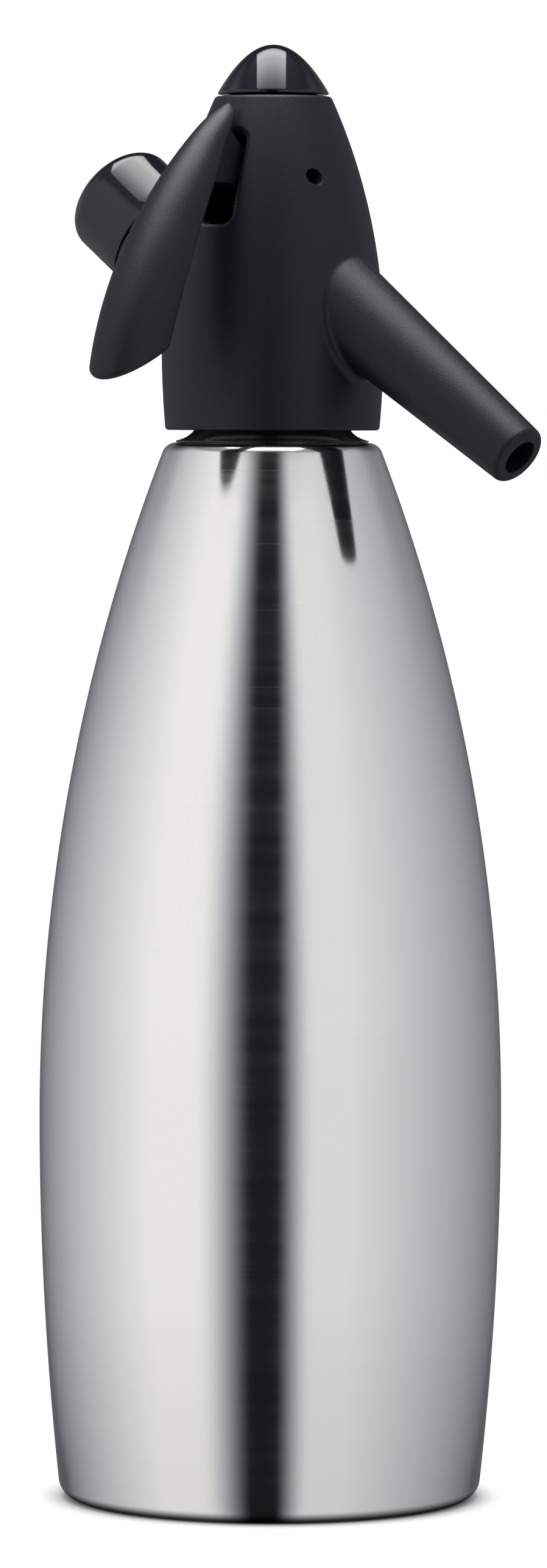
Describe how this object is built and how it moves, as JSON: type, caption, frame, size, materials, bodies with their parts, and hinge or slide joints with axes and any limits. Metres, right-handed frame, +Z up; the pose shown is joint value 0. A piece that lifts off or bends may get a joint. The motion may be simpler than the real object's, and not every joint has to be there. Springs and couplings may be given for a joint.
{
  "type": "soda siphon",
  "caption": "Soda siphon: tall bullet-shaped steel bottle with a screw-on black head, downward tapered spout, wing lever and a screwed holder for one gas charger.",
  "frame": {"origin": "centre of the bottle's base, on the surface it stands on", "axes": "+Z up along the bottle's axis, +X towards the spout, -X towards the charger holder, -Y towards the lever"},
  "size_m": [0.1201, 0.1086, 0.3142],
  "materials": {
    "stainless_brushed": "fine upright brushing, polished back",
    "stainless_bright": "turned and polished",
    "spring_steel": "drawn wire",
    "charger_steel": "zinc plated",
    "plated_brass": "cast and turned, nickel plated thinly",
    "black_casing": "moulded, fine even grain",
    "black_collar": "moulded, smooth",
    "black_gloss": "moulded, polished",
    "white_plastic": "moulded, smooth",
    "black_rubber": "moulded",
    "red_rubber": "moulded silicone"
  },
  "bodies": {
    "bottle_unit": {"bottle": "stainless_brushed", "neck_sleeve": "stainless_bright", "neck_collar": "black_collar", "measuring_tube": "white_plastic"},
    "gasket": {"neck_gasket": "black_rubber"},
    "head": {"head_casing": "black_casing", "valve_body": "plated_brass", "retaining_ring": "spring_steel", "pivot_pin": "stainless_bright", "spout_tube": "white_plastic", "spout_seal": "black_rubber", "riser_tube": "white_plastic", "riser_seal": "black_rubber", "riser_nut": "plated_brass", "gas_valve": "red_rubber", "pin_holder": "plated_brass", "piercing_pin": "stainless_bright", "charger_seal": "black_rubber", "valve_seat": "plated_brass", "stem_seal": "black_rubber", "gland_nut": "plated_brass", "valve_spring": "spring_steel", "top_cap": "black_gloss", "cap_seal": "black_rubber"},
    "lever": {"lever": "black_casing"},
    "valve": {"valve_stem": "stainless_bright", "valve_seal": "black_rubber"},
    "charger": {"gas_charger": "charger_steel"},
    "holder": {"charger_holder": "black_gloss", "holder_liner": "stainless_bright"}
  },
  "joints": [
    {"name": "head_lift", "type": "slide", "parent": "bottle_unit", "child": "gasket", "axis": [0, 0, 1], "range_m": [0, 0.0075]},
    {"name": "head_turn", "type": "hinge", "parent": "gasket", "child": "head", "pos_m": [0, 0, 0.2312], "axis": [0, 0, 1], "range_deg": [0, 1080]},
    {"name": "lever_press", "type": "hinge", "parent": "head", "child": "lever", "pos_m": [0, -0.0077, 0.2853], "axis": [1, 0, 0], "range_deg": [0, 12], "stiffness_Nm_per_rad": 0.22, "springref_deg": -14.9},
    {"name": "valve_lift", "type": "slide", "parent": "head", "child": "valve", "axis": [0, 0, 1], "range_m": [0, 0.0017], "deforming": ["valve_spring"]},
    {"name": "charger_travel", "type": "slide", "parent": "head", "child": "charger", "axis": [-0.7944, 0, 0.6074], "range_m": [0, 0.0101]},
    {"name": "holder_turn", "type": "hinge", "parent": "charger", "child": "holder", "pos_m": [0, 0, 0.2492], "axis": [-0.7944, 0, 0.6074], "range_deg": [0, 1800]}
  ],
  "couplings": [
    {"joint": "head_lift", "follows": "head_turn", "m_per_rad": 0.00039789},
    {"joint": "valve_lift", "follows": "lever_press", "m_per_rad": 0.0077},
    {"joint": "charger_travel", "follows": "holder_turn", "m_per_rad": 0.00031831}
  ]
}
